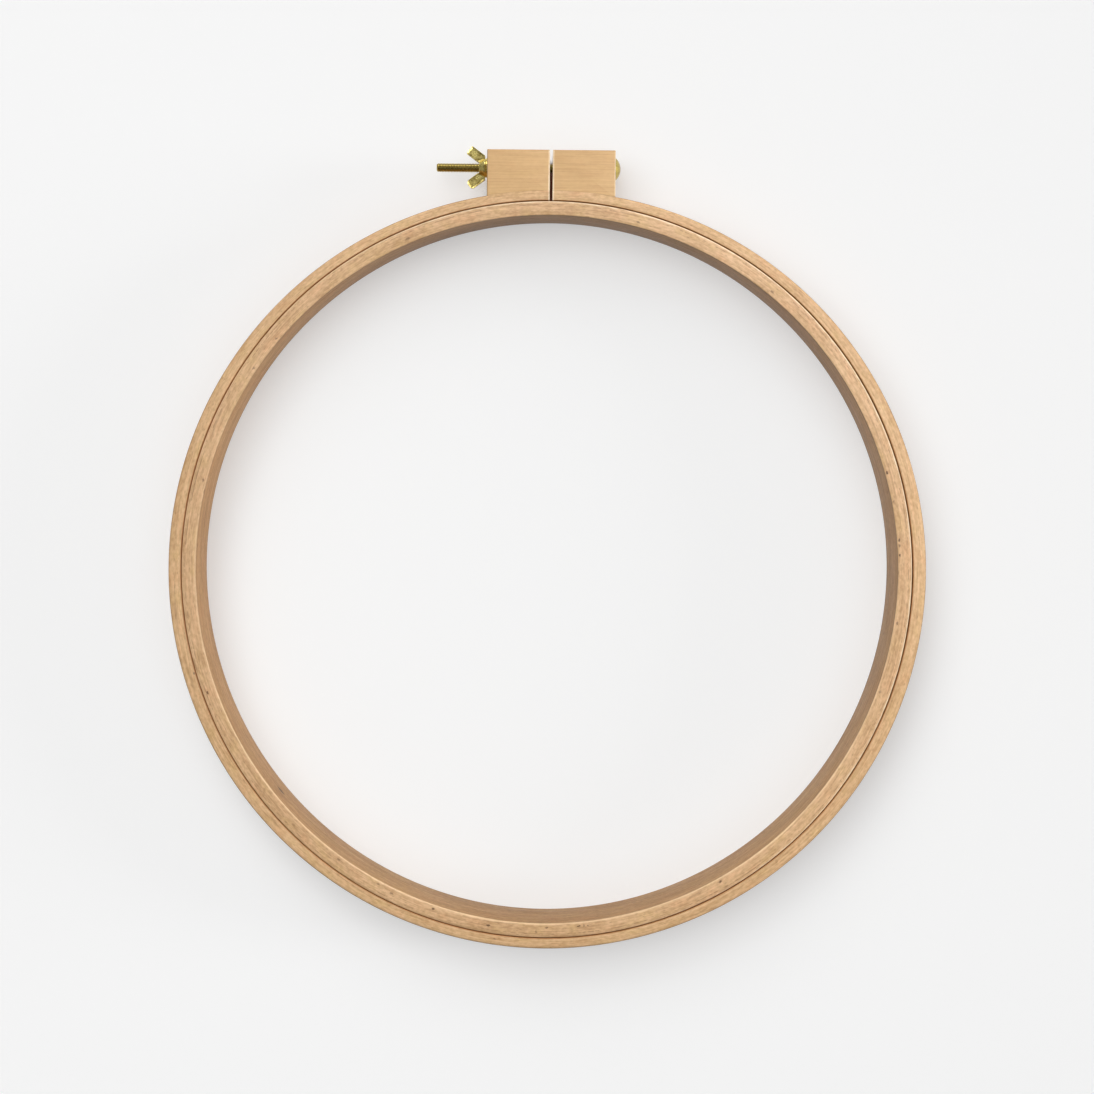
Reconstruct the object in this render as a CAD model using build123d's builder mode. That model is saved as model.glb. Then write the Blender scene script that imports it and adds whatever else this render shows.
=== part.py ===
from build123d import *
import math
import os

# A wooden screw hoop for embroidery, lying flat with its axis along +Z.
# The origin is the centre of the hoop at mid height. The clamp stands at +Y,
# and its bolt runs along X with the domed head at +X and the wing nut at -X.

# Driving dimensions in millimetres

hoop_height = 24.0
ring_outer_radius = 170.0
outer_ring_wall = 5.2
cloth_gap = 0.3
inner_ring_wall = 6.2
ring_edge_bevel = 0.5
kerf_width = 1.3

lug_length = 28.2
lug_rise = 18.3
lug_edge_round = 0.5
glue_line = 0.1

bolt_radius = 2.0
bolt_length = 81.0
bolt_above_ring = 12.0
bolt_end_chamfer = 0.5
head_radius = 5.1
head_height = 2.7
head_rim = 0.5
neck_side = 4.4
neck_length = 3.2
neck_clearance = 0.05
right_hole_clearance = 0.25
left_hole_swing = 0.75

washer_radius = 4.5
washer_thickness = 0.8
washer_clearance = 0.15
washer_edge_chamfer = 0.15

# The nut's height and wing span are to the wings' corners before they are rounded
nut_running_clearance = 0.05
nut_height = 9.1
nut_hub_height = 3.2
nut_hub_rim = 0.7
nut_hub_base_radius = 4.2
nut_hub_top_radius = 3.0
nut_bore_chamfer = 0.35
wing_span = 20.9
wing_width = 4.3
wing_thickness = 1.9
wing_lean_degrees = 35.0
wing_foot_lift = 0.4
wing_tip_round = 1.0
wing_foot_round = 0.7
wing_edge_bevel = 0.3

overrun = 1.0

# Sizes and places that follow from them

half_height = hoop_height / 2
half_kerf = kerf_width / 2
inner_ring_outer_radius = ring_outer_radius - outer_ring_wall - cloth_gap
saddle_radius = ring_outer_radius + glue_line
lug_top = ring_outer_radius + lug_rise
lug_face = half_kerf + lug_length
bolt_axis_y = ring_outer_radius + bolt_above_ring
nut_bore_radius = bolt_radius + nut_running_clearance
nut_seat = lug_face + washer_thickness

# Planes of the clamp: each has its local X along the bolt, away from the hoop's
# middle, and its local Y square to the bolt in the plane of the hoop.
head_plane = Plane(origin=(lug_face, bolt_axis_y, 0), x_dir=(1, 0, 0), z_dir=(0, 0, 1))
washer_plane = Plane(origin=(-lug_face, bolt_axis_y, 0), x_dir=(-1, 0, 0), z_dir=(0, 0, 1))
nut_plane = Plane(origin=(-nut_seat, bolt_axis_y, 0), x_dir=(-1, 0, 0), z_dir=(0, 0, 1))


def ring_band(outer_radius, wall):
    """A closed wooden band with its edges broken, turned about the hoop's axis."""
    with BuildPart() as band:
        with BuildSketch(Plane.XZ) as section:
            with Locations((outer_radius - wall / 2, 0)):
                Rectangle(wall, hoop_height)
            chamfer(section.vertices(), length=ring_edge_bevel)
        revolve(axis=Axis.Z)
    return band.part


def lug_block(side, hole_radius):
    """A clamp block on one side of the kerf, -1 left or +1 right, saddled onto the ring."""
    middle_x = side * (half_kerf + lug_length / 2)
    with BuildPart() as block:
        with BuildSketch(Plane.XY.offset(-half_height)):
            with Locations((middle_x, lug_top / 2)):
                Rectangle(lug_length, lug_top)
            Circle(saddle_radius, mode=Mode.SUBTRACT)
        extrude(amount=hoop_height)
        top_face = block.faces().sort_by(Axis.Y)[-1]
        end_face = block.faces().sort_by(Axis.X)[-1 if side > 0 else 0]
        long_edges = top_face.edges().filter_by(Axis.X)
        fillet(long_edges + end_face.edges(), radius=lug_edge_round)
        with BuildSketch(Plane.YZ):
            with Locations((bolt_axis_y, 0)):
                Circle(hole_radius)
        extrude(amount=lug_face + overrun, both=True, mode=Mode.SUBTRACT)
    return block.part


def wing_blade(side):
    """One wing of the nut, -1 or +1 across the bolt, leaning away from the lug."""
    lean = math.radians(wing_lean_degrees)
    outer_tip = (nut_height - wing_width * math.sin(lean), wing_span / 2)
    inner_tip = (nut_height, wing_span / 2 - wing_width * math.cos(lean))
    root_radius = (nut_bore_radius + nut_hub_top_radius) / 2
    root_height = inner_tip[0] - (inner_tip[1] - root_radius) / math.tan(lean)
    foot_radius = outer_tip[1] - (outer_tip[0] - wing_foot_lift) * math.tan(lean)
    with BuildPart() as blade:
        with BuildSketch(nut_plane) as outline:
            Polygon(
                (wing_foot_lift, side * root_radius),
                (wing_foot_lift, side * foot_radius),
                (outer_tip[0], side * outer_tip[1]),
                (inner_tip[0], side * inner_tip[1]),
                (root_height, side * root_radius),
                align=None,
            )
            tip_corners = outline.vertices().sort_by(Axis.X)[-2:]
            fillet(tip_corners, radius=wing_tip_round)
            foot_corner = outline.vertices().sort_by_distance((wing_foot_lift, side * foot_radius))[0]
            fillet(foot_corner, radius=wing_foot_round)
        extrude(amount=wing_thickness / 2, both=True)
        chamfer(blade.faces().filter_by(Axis.Z).edges(), length=wing_edge_bevel)
    return blade.part


# Inner ring: closed, the cloth is laid over it

with BuildPart() as inner_ring:
    add(ring_band(inner_ring_outer_radius, inner_ring_wall))
inner_ring.part.label = "inner_ring"

# Outer ring: one bent strip, open at the kerf

with BuildPart() as outer_ring:
    add(ring_band(ring_outer_radius, outer_ring_wall))
    with BuildSketch(Plane.XY.offset(-half_height - overrun)):
        with Locations((0, ring_outer_radius - outer_ring_wall / 2)):
            Rectangle(kerf_width, outer_ring_wall + 2 * overrun)
    extrude(amount=hoop_height + 2 * overrun, mode=Mode.SUBTRACT)
outer_ring.part.label = "outer_ring"

# Left lug: its hole is wide enough for the bolt when the ring is sprung open

with BuildPart() as left_lug:
    add(lug_block(-1, bolt_radius + left_hole_swing))
left_lug.part.label = "left_lug"

# Right lug: a square seat in its end face holds the bolt's neck

with BuildPart() as right_lug:
    add(lug_block(1, bolt_radius + right_hole_clearance))
    seat_side = neck_side + 2 * neck_clearance
    with BuildSketch(Plane.YZ.offset(lug_face)):
        with Locations((bolt_axis_y, 0)):
            Rectangle(seat_side, seat_side)
    extrude(amount=-(neck_length + neck_clearance), mode=Mode.SUBTRACT)
right_lug.part.label = "right_lug"

# Clamp bolt: domed head, square neck and round shank

with BuildPart() as clamp_bolt:
    with BuildSketch(head_plane):
        with BuildLine():
            dome_rise = head_height - head_rim
            dome_radius = (head_radius**2 + dome_rise**2) / (2 * dome_rise)
            shoulder = (head_rim, head_radius)
            crown = (head_height, 0)
            Polyline(
                crown,
                (-bolt_length, 0),
                (-bolt_length, bolt_radius - bolt_end_chamfer),
                (bolt_end_chamfer - bolt_length, bolt_radius),
                (0, bolt_radius),
                (0, head_radius),
                shoulder,
            )
            RadiusArc(shoulder, crown, dome_radius)
        make_face()
    revolve(axis=Axis(head_plane.origin, head_plane.x_dir))
    with BuildSketch(Plane.YZ.offset(lug_face)):
        with Locations((bolt_axis_y, 0)):
            Rectangle(neck_side, neck_side)
    extrude(amount=-neck_length)
clamp_bolt.part.label = "clamp_bolt"

# Washer between the left lug and the wing nut

with BuildPart() as washer:
    washer_bore_radius = bolt_radius + washer_clearance
    with BuildSketch(washer_plane):
        with Locations((washer_thickness / 2, (washer_bore_radius + washer_radius) / 2)):
            Rectangle(washer_thickness, washer_radius - washer_bore_radius)
    revolve(axis=Axis(washer_plane.origin, washer_plane.x_dir))
    rim_edges = washer.edges().filter_by(GeomType.CIRCLE).group_by(SortBy.RADIUS)[-1]
    chamfer(rim_edges, length=washer_edge_chamfer)
washer.part.label = "washer"

# Wing nut: a tapered hub and two wings that lean away from the lug

with BuildPart() as wing_nut:
    with BuildSketch(nut_plane):
        Polygon(
            (0, 0),
            (0, nut_hub_base_radius),
            (nut_hub_rim, nut_hub_base_radius),
            (nut_hub_height, nut_hub_top_radius),
            (nut_hub_height, 0),
            align=None,
        )
    revolve(axis=Axis(nut_plane.origin, nut_plane.x_dir))
    for wing_side in (-1, 1):
        add(wing_blade(wing_side))
    with BuildSketch(nut_plane):
        mouth_radius = nut_bore_radius + nut_bore_chamfer
        Polygon(
            (0, 0),
            (0, mouth_radius),
            (nut_bore_chamfer, nut_bore_radius),
            (nut_hub_height - nut_bore_chamfer, nut_bore_radius),
            (nut_hub_height, mouth_radius),
            (nut_hub_height, 0),
            align=None,
        )
    revolve(axis=Axis(nut_plane.origin, nut_plane.x_dir), mode=Mode.SUBTRACT)
wing_nut.part.label = "wing_nut"

os.makedirs("parts", exist_ok=True)
for piece in (inner_ring, outer_ring, left_lug, right_lug, clamp_bolt, washer, wing_nut):
    export_step(piece.part, f"parts/{piece.part.label}.step")
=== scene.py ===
"""A wooden screw hoop for embroidery, dressed for its picture.

The hoop lies flat on a pale floor and is seen from above. Lengths are in millimetres, and
a mesh is brought to metres when it becomes an object. Colours are linear.
"""

import logging
import math
from dataclasses import dataclass
from enum import Enum

import bmesh
import bpy
from mathutils import Matrix, Vector

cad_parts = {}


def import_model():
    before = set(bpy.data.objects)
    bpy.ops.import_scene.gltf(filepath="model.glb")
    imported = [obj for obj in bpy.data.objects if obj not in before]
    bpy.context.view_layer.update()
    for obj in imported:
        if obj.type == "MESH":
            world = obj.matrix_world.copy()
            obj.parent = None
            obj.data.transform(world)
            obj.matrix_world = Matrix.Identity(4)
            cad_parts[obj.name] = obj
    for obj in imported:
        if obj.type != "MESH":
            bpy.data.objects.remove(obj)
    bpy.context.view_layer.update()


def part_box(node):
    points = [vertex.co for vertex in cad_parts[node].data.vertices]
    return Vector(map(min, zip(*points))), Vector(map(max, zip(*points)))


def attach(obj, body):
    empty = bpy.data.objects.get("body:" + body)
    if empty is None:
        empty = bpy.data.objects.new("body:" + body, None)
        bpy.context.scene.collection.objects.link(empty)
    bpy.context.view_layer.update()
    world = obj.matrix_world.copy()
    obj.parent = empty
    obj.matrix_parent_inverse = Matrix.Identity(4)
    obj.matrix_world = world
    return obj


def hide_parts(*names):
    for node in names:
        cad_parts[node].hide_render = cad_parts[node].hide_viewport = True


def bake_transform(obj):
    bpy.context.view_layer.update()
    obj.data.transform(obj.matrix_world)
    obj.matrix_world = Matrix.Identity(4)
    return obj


log = logging.getLogger("hoop")

MM = 0.001
FULL_TURN = 2 * math.pi
WELD = 0.0005
NEAR = 0.001
FLAT = 0.0001

Triple = tuple[float, float, float]
Node = bpy.types.Node
Socket = bpy.types.NodeSocket
Feed = Socket | float | Vector | tuple | None
Solid = bpy.types.Object
BMesh = bmesh.types.BMesh

WHITE = (1.0, 1.0, 1.0)
# Painted tones: a highlight along the kerf's sawn edges, a highlight and a shade for a lug's end, and shade
# along the walls just under the faces.
KERF_HIGHLIGHT = (0.96, 0.82, 0.60)
END_HIGHLIGHT_TONE = (0.95, 0.80, 0.58)
SHADE_TONE = (0.22, 0.12, 0.05)
UNDER_TONE = (0.16, 0.09, 0.04)
FLECK_TONE = (0.11, 0.048, 0.02)
PINKER = (1.05, 0.97, 0.94)
YELLOWER = (0.99, 1.02, 0.88)


class Body(Enum):
    """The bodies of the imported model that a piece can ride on."""

    OUTER_HOOP = "outer_hoop"
    INNER_HOOP = "inner_hoop"
    LEFT_END = "left_end"
    NUT_SEAT = "nut_seat"
    WING_NUT = "wing_nut"


class Slot(Enum):
    """The material slots of the record."""

    BEECH_RING = "beech_ring"
    BEECH_LUG = "beech_lug"
    BRASS = "brass"


class Side(Enum):
    """The two sides of the saw kerf."""

    LEFT = -1
    RIGHT = 1


def span(node: str) -> tuple[Vector, Vector]:
    """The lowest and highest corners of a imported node.

    Args:
        node: The node's name.

    Returns:
        The two corners.
    """
    low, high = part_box(node)
    return low / MM, high / MM


def opaque(colour: Triple) -> tuple[float, float, float, float]:
    """A colour with full alpha, as colour sockets take it."""
    return (*colour, 1.0)


@dataclass(frozen=True)
class Pattern:
    """A noise. Per metre is how often it changes along each axis."""

    per_metre: Triple
    detail: float
    rough: float


FIBRE = Pattern((45, 1500, 1500), 4.0, 0.62)
FLAKE = Pattern((420, 900, 900), 2.0, 0.6)
BAND = Pattern((6, 330, 330), 1.0, 0.5)
MOTTLE = Pattern((75, 190, 190), 3.0, 0.55)
DRIFT = Pattern((9, 20, 20), 1.0, 0.5)
HUE = Pattern((110, 210, 273), 1.0, 0.5)
RAGGED = Pattern((220, 900, 900), 3.0, 0.6)
# Breaks up the painted highlight along the kerf's sawn edges.
HIGHLIGHT_PATCHES = Pattern((380, 380, 380), 2.0, 0.5)
BROKEN = Pattern((260, 40, 40), 2.0, 0.7)
WOBBLE = Pattern((900, 1300, 1300), 2.0, 0.6)
CLOUD = Pattern((420, 420, 420), 5.0, 0.6)
PIT = Pattern((2600, 2600, 2600), 3.0, 0.6)
SCRATCH = Pattern((900, 5200, 5200), 2.0, 0.6)

MOTTLE_SHARE, BAND_SHARE, DRIFT_SHARE = 0.2, 0.24, 0.2
CALM_SHARE = 0.4
FLAKE_SWING = 0.35
HUE_SHARE = 0.8
SPECK_SHARE = 0.55
FLAKE_HEIGHT, RAY_HOLLOW, SPECK_HOLLOW = 0.5, 0.5, 0.8
BEECH_ROUGHNESS = (0.42, 0.58)
BRASS_ROUGHNESS = (0.18, 0.34)
AGED_ROUGHNESS = 0.14

SIDE_START = 0.05
SIDE_DEPTH = (0.8, 2.5)
WALL_START = (0.2, 0.9)
UNDER_START, UNDER_END = (0.2, 0.6), (0.9, 1.9)
RAGGED_WIDTH = (0.6, 1.5)


@dataclass(frozen=True)
class Dots:
    """Scattered marks. Core and rim are where a mark starts to fade and where it ends."""

    per_metre: Triple
    core: float
    rim: float
    channel: int


RAY_DOTS = Dots((330, 1150, 1150), 0.10, 0.30, 0)
SPECK_DOTS = Dots((120, 330, 330), 0.07, 0.17, 1)


class Wiring:
    """Adds nodes to one node tree and joins them."""

    def __init__(self, tree: bpy.types.NodeTree) -> None:
        """Starts on a tree, which keeps the nodes that it has."""
        self.tree = tree

    def add(self, kind: str, *feeds: Feed, named: dict[str, Feed] | None = None, **settings: object) -> Node:
        """Adds one node.

        Args:
            kind: The node's type, without its ShaderNode prefix.
            feeds: What its sockets get, in order: a socket, a value, or None.
            named: What sockets get by their names.
            settings: The node's own properties.

        Returns:
            The new node.
        """
        node = self.tree.nodes.new("ShaderNode" + kind)
        for key, value in settings.items():
            setattr(node, key, value)
        for place, feed in enumerate(feeds):
            self.give(node.inputs[place], feed)
        for key, feed in (named or {}).items():
            self.give(node.inputs[key], feed)
        return node

    def give(self, socket: Socket, feed: Feed) -> None:
        """Links a socket, or sets its value.

        Args:
            socket: The input socket.
            feed: A socket, a value, or None to leave it as it is.
        """
        if isinstance(feed, Socket):
            self.tree.links.new(feed, socket)
        elif feed is not None:
            socket.default_value = feed

    def maths(self, operation: str, *feeds: Feed, clamp: bool = False) -> Socket:
        """A Math node's value."""
        return self.add("Math", *feeds, operation=operation, use_clamp=clamp).outputs[0]

    def times(self, first: Feed, second: Feed) -> Socket:
        """Two values multiplied."""
        return self.maths("MULTIPLY", first, second)

    def vector(self, operation: str, *feeds: Feed, output: str = "Vector") -> Socket:
        """A Vector Math node's result."""
        return self.add("VectorMath", *feeds, operation=operation).outputs[output]

    def parts(self, vector: Feed) -> bpy.types.NodeOutputs:
        """A vector's three components."""
        return self.add("SeparateXYZ", vector).outputs

    def ramp(self, value: Feed, low: Feed, high: Feed, bottom: Feed = 0.0, top: Feed = 1.0) -> Socket:
        """A smooth step of a value from low to high, put out between bottom and top."""
        return self.add("MapRange", value, low, high, bottom, top, interpolation_type="SMOOTHSTEP").outputs[0]

    def fade(self, length: Feed, near: float, far: float, top: Feed = 1.0) -> Socket:
        """A share that is full up to a near length and gone at a far one, in millimetres."""
        return self.ramp(length, near * MM, far * MM, top, 0.0)

    def rise(self, length: Feed, near: float, far: float, top: Feed = 1.0) -> Socket:
        """A share that starts at a near length and is full at a far one, in millimetres."""
        return self.ramp(length, near * MM, far * MM, 0.0, top)

    def edge_line(self, length: Feed, edge: float, line: tuple[float, float], share: float) -> Socket:
        """A line along an edge, which starts and is full at two distances before it."""
        return self.rise(length, edge - line[0], edge - line[1], share)

    def even(self, noise: Feed, bottom: float = 0.0, top: float = 1.0) -> Socket:
        """A noise's usual range, spread between bottom and top."""
        return self.ramp(noise, 0.3, 0.7, bottom, top)

    def noise(self, place: Feed, pattern: Pattern, output: int = 0) -> Socket:
        """A noise over a place, as a value, or as a colour with output 1."""
        scaled = self.vector("MULTIPLY", place, pattern.per_metre)
        return self.add("TexNoise", scaled, None, 1.0, pattern.detail, pattern.rough).outputs[output]

    def dots(self, place: Feed, dots: Dots) -> tuple[Socket, Socket]:
        """Scattered marks over a place.

        Args:
            place: The point that they are read at.
            dots: Which marks.

        Returns:
            The marks' mask, and a chance from 0 to 1 that each mark has for itself.
        """
        scaled = self.vector("MULTIPLY", place, dots.per_metre)
        cells = self.add("TexVoronoi", scaled, None, 1.0, feature="F1").outputs
        chance = self.add("SeparateColor", cells["Color"]).outputs[dots.channel]
        return self.ramp(cells["Distance"], dots.core, dots.rim, 1.0, 0.0), chance

    def blend(self, share: Feed, first: Feed, second: Feed, way: str = "MIX") -> Socket:
        """Two colours mixed by a share.

        Args:
            share: How much of the second is taken.
            first: The first colour.
            second: The second colour.
            way: How they mix.

        Returns:
            The colour.
        """
        node = self.add("Mix", share, data_type="RGBA", blend_type=way)
        colours = [socket for socket in node.inputs if socket.type == "RGBA"]
        for socket, colour in zip(colours, (first, second)):
            self.give(socket, opaque(colour) if isinstance(colour, tuple) else colour)
        return next(socket for socket in node.outputs if socket.type == "RGBA")

    def tint(self, share: Feed, colour: Feed, tone: Feed) -> Socket:
        """A colour darkened or turned by a tone, by a share."""
        return self.blend(share, colour, tone, "MULTIPLY")


SURFACE = {"Color": "Color", "Roughness": "Float", "Height": "Float"}


def new_group(name: str, inputs: dict[str, str], outputs: dict[str, str]) -> tuple[Wiring, dict, Node]:
    """Starts a shader node group.

    Args:
        name: The group's name.
        inputs: The input sockets' names and kinds.
        outputs: The output sockets' names and kinds.

    Returns:
        The wiring of its tree, its input sockets by name, and its output node.
    """
    tree = bpy.data.node_groups.new(name, "ShaderNodeTree")
    for way, sockets in (("INPUT", inputs), ("OUTPUT", outputs)):
        for label, kind in sockets.items():
            tree.interface.new_socket(label, in_out=way, socket_type="NodeSocket" + kind)
    source = tree.nodes.new("NodeGroupInput")
    sink = tree.nodes.new("NodeGroupOutput")
    return Wiring(tree), {label: source.outputs[label] for label in inputs}, sink


def seeded(w: Wiring, given: dict[str, Socket]) -> Socket:
    """A group's place, shifted by its seed along each axis."""
    return w.vector("ADD", given["Place"], w.add("CombineXYZ", *3 * [given["Seed"]]).outputs[0])


def beech_group() -> bpy.types.NodeTree:
    """The colour, gloss and relief of sanded beech.

    Place is a point of the plank in metres, with X along the grain, so that fibres,
    growth lines, rays and specks run along the strip also where it is bent. Figure is
    how lively the wood is.

    Returns:
        The group.
    """
    w, given, sink = new_group(
        "beech",
        {
            "Place": "Vector", "Pale": "Color", "Dark": "Color", "Ray colour": "Color",
            "Streaks": "Float", "Rays": "Float", "Specks": "Float", "Figure": "Float", "Seed": "Float",
        },
        SURFACE,
    )
    place, figure = seeded(w, given), given["Figure"]
    fibre, flake, band, mottle, drift, hue = (
        w.noise(place, pattern) for pattern in (FIBRE, FLAKE, BAND, MOTTLE, DRIFT, HUE)
    )

    tone = w.times(w.even(mottle), MOTTLE_SHARE)
    for noise, share in ((band, BAND_SHARE), (drift, DRIFT_SHARE)):
        tone = w.maths("MULTIPLY_ADD", w.even(noise), share, tone)
    flakes = w.times(w.ramp(flake, 0.28, 0.72, -FLAKE_SWING, FLAKE_SWING), figure)
    lively = w.maths("MULTIPLY_ADD", figure, 1.0 - CALM_SHARE, CALM_SHARE)
    tone = w.maths("MULTIPLY_ADD", tone, lively, flakes)
    fine = w.times(w.ramp(fibre, 0.3, 0.72), given["Streaks"])
    colour = w.blend(w.maths("ADD", fine, tone, clamp=True), given["Pale"], given["Dark"])
    colour = w.tint(w.times(w.ramp(hue, 0.5, 0.75, 0.0, HUE_SHARE), figure), colour, PINKER)
    colour = w.tint(w.times(w.ramp(hue, 0.25, 0.5, HUE_SHARE, 0.0), figure), colour, YELLOWER)

    off_line = w.maths("ABSOLUTE", w.maths("SUBTRACT", band, 0.5))
    line_share = w.times(w.ramp(mottle, 0.4, 0.6, 0.1, 0.42), figure)
    lines = w.times(w.ramp(off_line, 0.002, 0.016, 1.0, 0.0), line_share)
    ray_shape, ray_chance = w.dots(place, RAY_DOTS)
    rays = w.times(ray_shape, w.ramp(ray_chance, 0.45, 0.75))
    speck_shape, speck_chance = w.dots(place, SPECK_DOTS)
    chosen = w.maths("GREATER_THAN", speck_chance, w.maths("SUBTRACT", 1.0, given["Specks"]))
    specks = w.times(speck_shape, chosen)
    for mask in (lines, w.times(rays, given["Rays"]), w.times(specks, SPECK_SHARE)):
        colour = w.blend(mask, colour, given["Ray colour"])

    raised = w.maths("MULTIPLY_ADD", flake, FLAKE_HEIGHT, fibre)
    hollow = w.maths("MULTIPLY_ADD", rays, RAY_HOLLOW, w.times(specks, SPECK_HOLLOW))
    w.give(sink.inputs["Color"], colour)
    w.give(sink.inputs["Roughness"], w.even(fibre, *BEECH_ROUGHNESS))
    w.give(sink.inputs["Height"], w.maths("SUBTRACT", raised, hollow))
    return w.tree


def edge_group() -> bpy.types.NodeTree:
    """Masks for the edges and sides of a strip.

    Place is a point of the strip in metres, from the middle of its section: Y across the
    wall and Z along the hoop's axis.

    Returns:
        The group.
    """
    masks = ("Outer edge", "Inner edge", "Outer side", "Inner side", "Wall", "Under edge")
    w, given, sink = new_group(
        "strip edges",
        {"Place": "Vector", **dict.fromkeys(("Half wall", "Half height", "Width", "Reach"), "Float")},
        dict.fromkeys(masks, "Float"),
    )
    parts = w.parts(given["Place"])
    from_face = w.maths("SUBTRACT", given["Half height"], w.maths("ABSOLUTE", parts[2]))
    ragged = w.ramp(w.noise(given["Place"], RAGGED), 0.25, 0.75, *RAGGED_WIDTH)
    width = w.times(given["Width"], ragged)
    shallow = w.fade(from_face, *SIDE_DEPTH)
    for name, way in (("Outer", "SUBTRACT"), ("Inner", "ADD")):
        from_side = w.maths(way, given["Half wall"], parts[1])
        corner = w.maths("MAXIMUM", from_side, from_face)
        w.give(sink.inputs[name + " edge"], w.ramp(corner, 0.0, width, 1.0, 0.0))
        side = w.ramp(from_side, SIDE_START * MM, given["Reach"], 1.0, 0.0)
        w.give(sink.inputs[name + " side"], w.times(side, shallow))
    w.give(sink.inputs["Wall"], w.rise(from_face, *WALL_START))
    under = w.times(w.rise(from_face, *UNDER_START), w.fade(from_face, *UNDER_END))
    w.give(sink.inputs["Under edge"], under)
    return w.tree


def brass_group() -> bpy.types.NodeTree:
    """The colour, gloss and relief of handled brass, with tarnish, scratches and pits.

    Returns:
        The group.
    """
    w, given, sink = new_group(
        "brass",
        {
            "Place": "Vector", "Bright": "Color", "Tarnish": "Color", "Aged": "Float", "Hollow and shade": "Float",
            "Seed": "Float",
        },
        SURFACE,
    )
    place = seeded(w, given)
    cloud, pit, scratch = (w.noise(place, pattern) for pattern in (CLOUD, PIT, SCRATCH))
    # The hollow share adds patina in hollows and, on a bolt, painted shade on its head next to the lug.
    tarnish_and_shade = w.maths("MULTIPLY_ADD", w.ramp(cloud, 0.38, 0.7), given["Aged"], given["Hollow and shade"], clamp=True)
    w.give(sink.inputs["Color"], w.blend(tarnish_and_shade, given["Bright"], given["Tarnish"]))
    gloss = w.ramp(scratch, 0.3, 0.75, *BRASS_ROUGHNESS)
    w.give(sink.inputs["Roughness"], w.maths("MULTIPLY_ADD", tarnish_and_shade, AGED_ROUGHNESS, gloss))
    w.give(sink.inputs["Height"], w.times(w.maths("ADD", scratch, pit), 0.5))
    return w.tree


@dataclass(frozen=True)
class Effects:
    """The node groups that the finishes share."""

    beech: bpy.types.NodeTree
    edges: bpy.types.NodeTree
    brass: bpy.types.NodeTree

    @classmethod
    def made(cls) -> "Effects":
        """Builds each group once."""
        return cls(beech_group(), edge_group(), brass_group())


def bare_material(name: str) -> tuple[bpy.types.Material, Wiring, Node]:
    """Starts a material with nothing but its output.

    Args:
        name: The material's name.

    Returns:
        The material, its wiring and its output.
    """
    material = bpy.data.materials.new(name)
    material.use_nodes = True
    material.node_tree.nodes.clear()
    w = Wiring(material.node_tree)
    return material, w, w.add("OutputMaterial")


@dataclass(frozen=True)
class Finish:
    """What a finish of any stuff has: its name, where its pattern starts and its relief."""

    name: str
    seed: float = 0.0
    relief: float = 0.04
    bump: float = 0.5
    metallic: float = 0.0

    def painted(self, w: Wiring, effects: Effects) -> tuple[Socket, Node]:
        """Lays out the colour, which each stuff does in its own way.

        Args:
            w: The material's wiring.
            effects: The shared node groups.

        Returns:
            The colour, and the group that gives the gloss and the relief.
        """
        raise NotImplementedError

    def material(self, effects: Effects) -> bpy.types.Material:
        """Builds the material.

        Args:
            effects: The shared node groups.

        Returns:
            The material.
        """
        material, w, output = bare_material(self.name)
        colour, surface = self.painted(w, effects)
        height = {"Height": surface.outputs["Height"], "Strength": self.bump, "Distance": self.relief * MM}
        shader = w.add("BsdfPrincipled", named={
            "Base Color": colour, "Roughness": surface.outputs["Roughness"], "Metallic": self.metallic,
            "Normal": w.add("Bump", named=height).outputs[0],
        })
        w.give(output.inputs["Surface"], shader.outputs[0])
        return material


@dataclass(frozen=True)
class Mark:
    """A dark fleck in the wood of a ring, at an angle round the hoop in degrees.

    Across is from the wall's middle, outwards, and up is from mid height.
    """

    angle: float
    across: float
    up: float = 12.0
    length: float = 1.5
    width: float = 0.95
    depth: float = 0.9


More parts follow.
